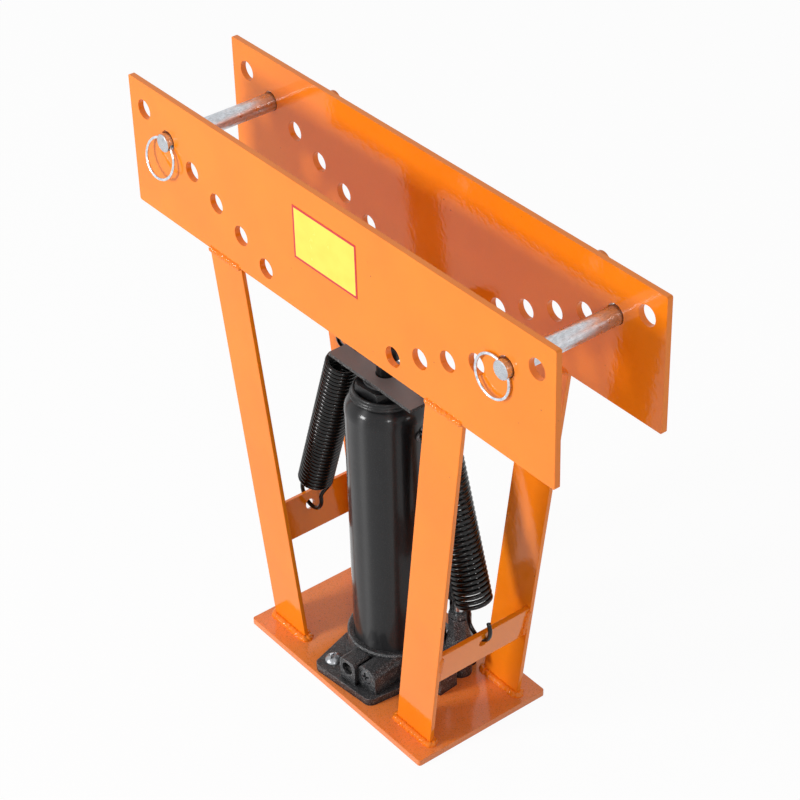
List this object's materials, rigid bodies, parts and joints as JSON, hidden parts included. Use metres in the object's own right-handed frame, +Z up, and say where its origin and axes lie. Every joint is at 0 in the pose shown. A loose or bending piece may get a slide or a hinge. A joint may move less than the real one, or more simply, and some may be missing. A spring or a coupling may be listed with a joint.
{
  "type": "hydraulic pipe bender",
  "caption": "Upright pipe bender: bottle jack with return springs under two side plates with a V of roller holes, on four splayed flat legs and a base plate.",
  "frame": {"origin": "centre of the underside of the base plate", "axes": "+X along the side plates to the right as seen from the label side, +Y from the label side to the rear, +Z up"},
  "size_m": [0.61, 0.1722, 0.558],
  "materials": {
    "orange_paint": "gloss",
    "label_yellow": "gloss",
    "tank_black": "gloss",
    "cast_black": "satin",
    "spring_black": "gloss",
    "crosshead_black": "satin",
    "zinc_steel": "satin",
    "turned_steel": "satin",
    "seal_rubber": "matt"
  },
  "bodies": {
    "frame": {"base_plate": "orange_paint", "front_side_plate": "orange_paint", "rear_side_plate": "orange_paint", "front_left_leg": "orange_paint", "front_right_leg": "orange_paint", "rear_left_leg": "orange_paint", "rear_right_leg": "orange_paint", "left_spring_bar": "orange_paint", "right_spring_bar": "orange_paint", "rear_pegs": "orange_paint", "label_panel": "label_yellow", "foot_welds": "orange_paint", "top_welds": "orange_paint", "bar_welds": "orange_paint", "jack_base_casting": "cast_black", "oil_tank": "tank_black", "pressure_cylinder": "turned_steel", "gland_nut": "tank_black", "rod_wiper": "seal_rubber", "tank_seal": "seal_rubber", "cylinder_seal": "seal_rubber", "jack_screws": "zinc_steel", "overload_plug": "cast_black", "filler_plug": "seal_rubber", "release_ball": "turned_steel", "inlet_ball": "turned_steel", "pump_packing_nut": "cast_black", "pump_packing": "seal_rubber", "fulcrum_pin": "turned_steel", "left_return_spring": "spring_black", "right_return_spring": "spring_black"},
    "ram": {"ram": "turned_steel", "piston": "turned_steel", "piston_seal": "seal_rubber", "ram_saddle": "crosshead_black", "spring_crosshead": "crosshead_black"},
    "left_pin": {"left_roller_pin": "zinc_steel"},
    "right_pin": {"right_roller_pin": "zinc_steel"},
    "left_ring": {"left_pull_ring": "zinc_steel"},
    "right_ring": {"right_pull_ring": "zinc_steel"},
    "valve": {"release_valve": "turned_steel"},
    "pump_rod": {"pump_plunger": "turned_steel", "plunger_cross_pin": "turned_steel"},
    "handle": {"handle_socket": "cast_black"}
  },
  "joints": [
    {"name": "ram_slide", "type": "slide", "parent": "frame", "child": "ram", "axis": [0, 0, 1], "range_m": [0, 0.24], "stiffness_N_per_m": 4500, "springref_m": -0.02, "deforming": ["left_return_spring", "right_return_spring"]},
    {"name": "left_pin_slide", "type": "slide", "parent": "frame", "child": "left_pin", "axis": [0, -1, 0], "range_m": [0, 0.135]},
    {"name": "right_pin_slide", "type": "slide", "parent": "frame", "child": "right_pin", "axis": [0, -1, 0], "range_m": [0, 0.135]},
    {"name": "left_ring_swing", "type": "hinge", "parent": "left_pin", "child": "left_ring", "pos_m": [-0.2443, -0.064, 0.51115], "axis": [-0.9432, 0, 0.3322], "range_deg": [-12, 155]},
    {"name": "right_ring_swing", "type": "hinge", "parent": "right_pin", "child": "right_ring", "pos_m": [0.2443, -0.064, 0.51115], "axis": [-0.7193, 0, 0.6947], "range_deg": [-2.6, 165]},
    {"name": "release_valve_turn", "type": "hinge", "parent": "frame", "child": "valve", "pos_m": [0.00913, -0.0594, 0.031], "axis": [-0.0941, 0.9956, 0], "range_deg": [0, 360]},
    {"name": "handle_swing", "type": "hinge", "parent": "frame", "child": "handle", "pos_m": [0.0442, 0.0318, 0.104], "axis": [-0.0941, 0.9956, 0], "range_deg": [0, 32]},
    {"name": "pump_stroke", "type": "slide", "parent": "frame", "child": "pump_rod", "axis": [0, 0, -1], "range_m": [0, 0.0104]}
  ],
  "couplings": [
    {"joint": "pump_stroke", "follows": "handle_swing", "m_per_rad": 0.018483}
  ]
}
